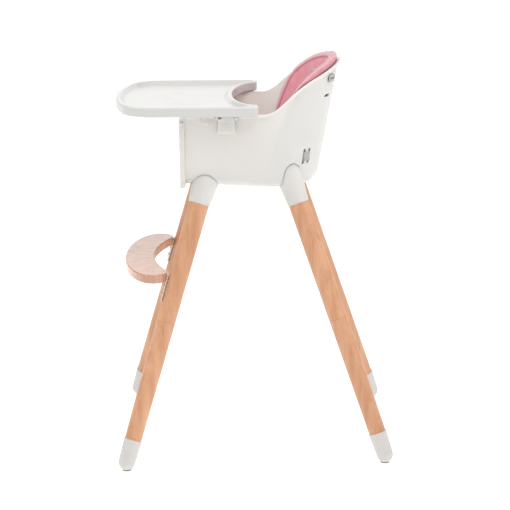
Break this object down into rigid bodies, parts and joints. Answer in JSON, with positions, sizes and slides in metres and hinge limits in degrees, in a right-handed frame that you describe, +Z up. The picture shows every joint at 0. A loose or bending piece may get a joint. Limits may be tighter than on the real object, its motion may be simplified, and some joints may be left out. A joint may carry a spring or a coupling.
{
  "type": "baby high chair",
  "caption": "High chair with a moulded bucket seat on splayed round wooden legs, quilted pad, harness, sliding tray with side latches, and a crescent footrest.",
  "frame": {"origin": "on the floor, under the middle of the chair's overall width and depth", "axes": "+Z up; the chair faces -Y; +X is the chair's own left side"},
  "size_m": [0.593, 0.6179, 0.896],
  "materials": {
    "shell_plastic": "satin moulded white",
    "tray_plastic": "smooth cool white",
    "beech": "clear-lacquered beech",
    "foot_plastic": "satin",
    "foot_rubber": "matte",
    "pink_fabric": "wipe-clean woven cover, quilted",
    "grey_webbing": "flat woven webbing",
    "grey_plastic": "satin",
    "button_plastic": "smooth",
    "brass": "machined",
    "bracket_paint": "powder-coated pale grey",
    "steel": "zinc-plated"
  },
  "bodies": {
    "chair": {"back_cushion": "pink_fabric", "buckle_body": "grey_plastic", "buckle_spring_washer": "steel", "buckle_tongue_left": "grey_plastic", "buckle_tongue_right": "grey_plastic", "crotch_strap": "grey_webbing", "footrest_board": "beech", "footrest_bracket_left": "bracket_paint", "footrest_bracket_right": "bracket_paint", "footrest_screws": "steel", "front_left_foot_cap": "foot_plastic", "front_left_foot_pad": "foot_rubber", "front_left_leg_socket": "shell_plastic", "front_left_lower_leg": "beech", "front_left_upper_leg": "beech", "front_right_foot_cap": "foot_plastic", "front_right_foot_pad": "foot_rubber", "front_right_leg_socket": "shell_plastic", "front_right_lower_leg": "beech", "front_right_upper_leg": "beech", "leg_joint_inserts": "brass", "leg_joint_studs": "steel", "leg_top_studs": "steel", "rear_left_foot_cap": "foot_plastic", "rear_left_foot_pad": "foot_rubber", "rear_left_leg_socket": "shell_plastic", "rear_left_lower_leg": "beech", "rear_left_upper_leg": "beech", "rear_right_foot_cap": "foot_plastic", "rear_right_foot_pad": "foot_rubber", "rear_right_leg_socket": "shell_plastic", "rear_right_lower_leg": "beech", "rear_right_upper_leg": "beech", "seat_cushion": "pink_fabric", "seat_shell": "shell_plastic", "shoulder_strap_left": "grey_webbing", "shoulder_strap_right": "grey_webbing", "shoulder_strap_sliders": "grey_plastic", "socket_screws": "steel", "strap_keepers": "grey_plastic", "waist_strap_left": "grey_webbing", "waist_strap_right": "grey_webbing"},
    "tray": {"tray": "tray_plastic", "tray_rail_left": "shell_plastic", "tray_rail_right": "shell_plastic", "latch_pins": "steel", "latch_springs": "steel", "tray_rail_screws": "steel"},
    "left_latch": {"tray_latch_left": "shell_plastic"},
    "right_latch": {"tray_latch_right": "shell_plastic"},
    "harness_button": {"buckle_button": "button_plastic"}
  },
  "joints": [
    {"name": "tray_slide", "type": "slide", "parent": "chair", "child": "tray", "axis": [0, -1, 0], "range_m": [0, 0.2]},
    {"name": "left_latch_hinge", "type": "hinge", "parent": "tray", "child": "left_latch", "pos_m": [0.189, -0.059, 0.777], "axis": [0, -1, 0], "range_deg": [0, 20], "stiffness_Nm_per_rad": 0.08, "springref_deg": -5.73},
    {"name": "right_latch_hinge", "type": "hinge", "parent": "tray", "child": "right_latch", "pos_m": [-0.189, -0.059, 0.777], "axis": [0, 1, 0], "range_deg": [0, 20], "stiffness_Nm_per_rad": 0.08, "springref_deg": -5.73},
    {"name": "harness_button_press", "type": "slide", "parent": "chair", "child": "harness_button", "axis": [0, 0.5, -0.866], "range_m": [0, 0.003], "stiffness_N_per_m": 500, "springref_m": -0.002}
  ]
}
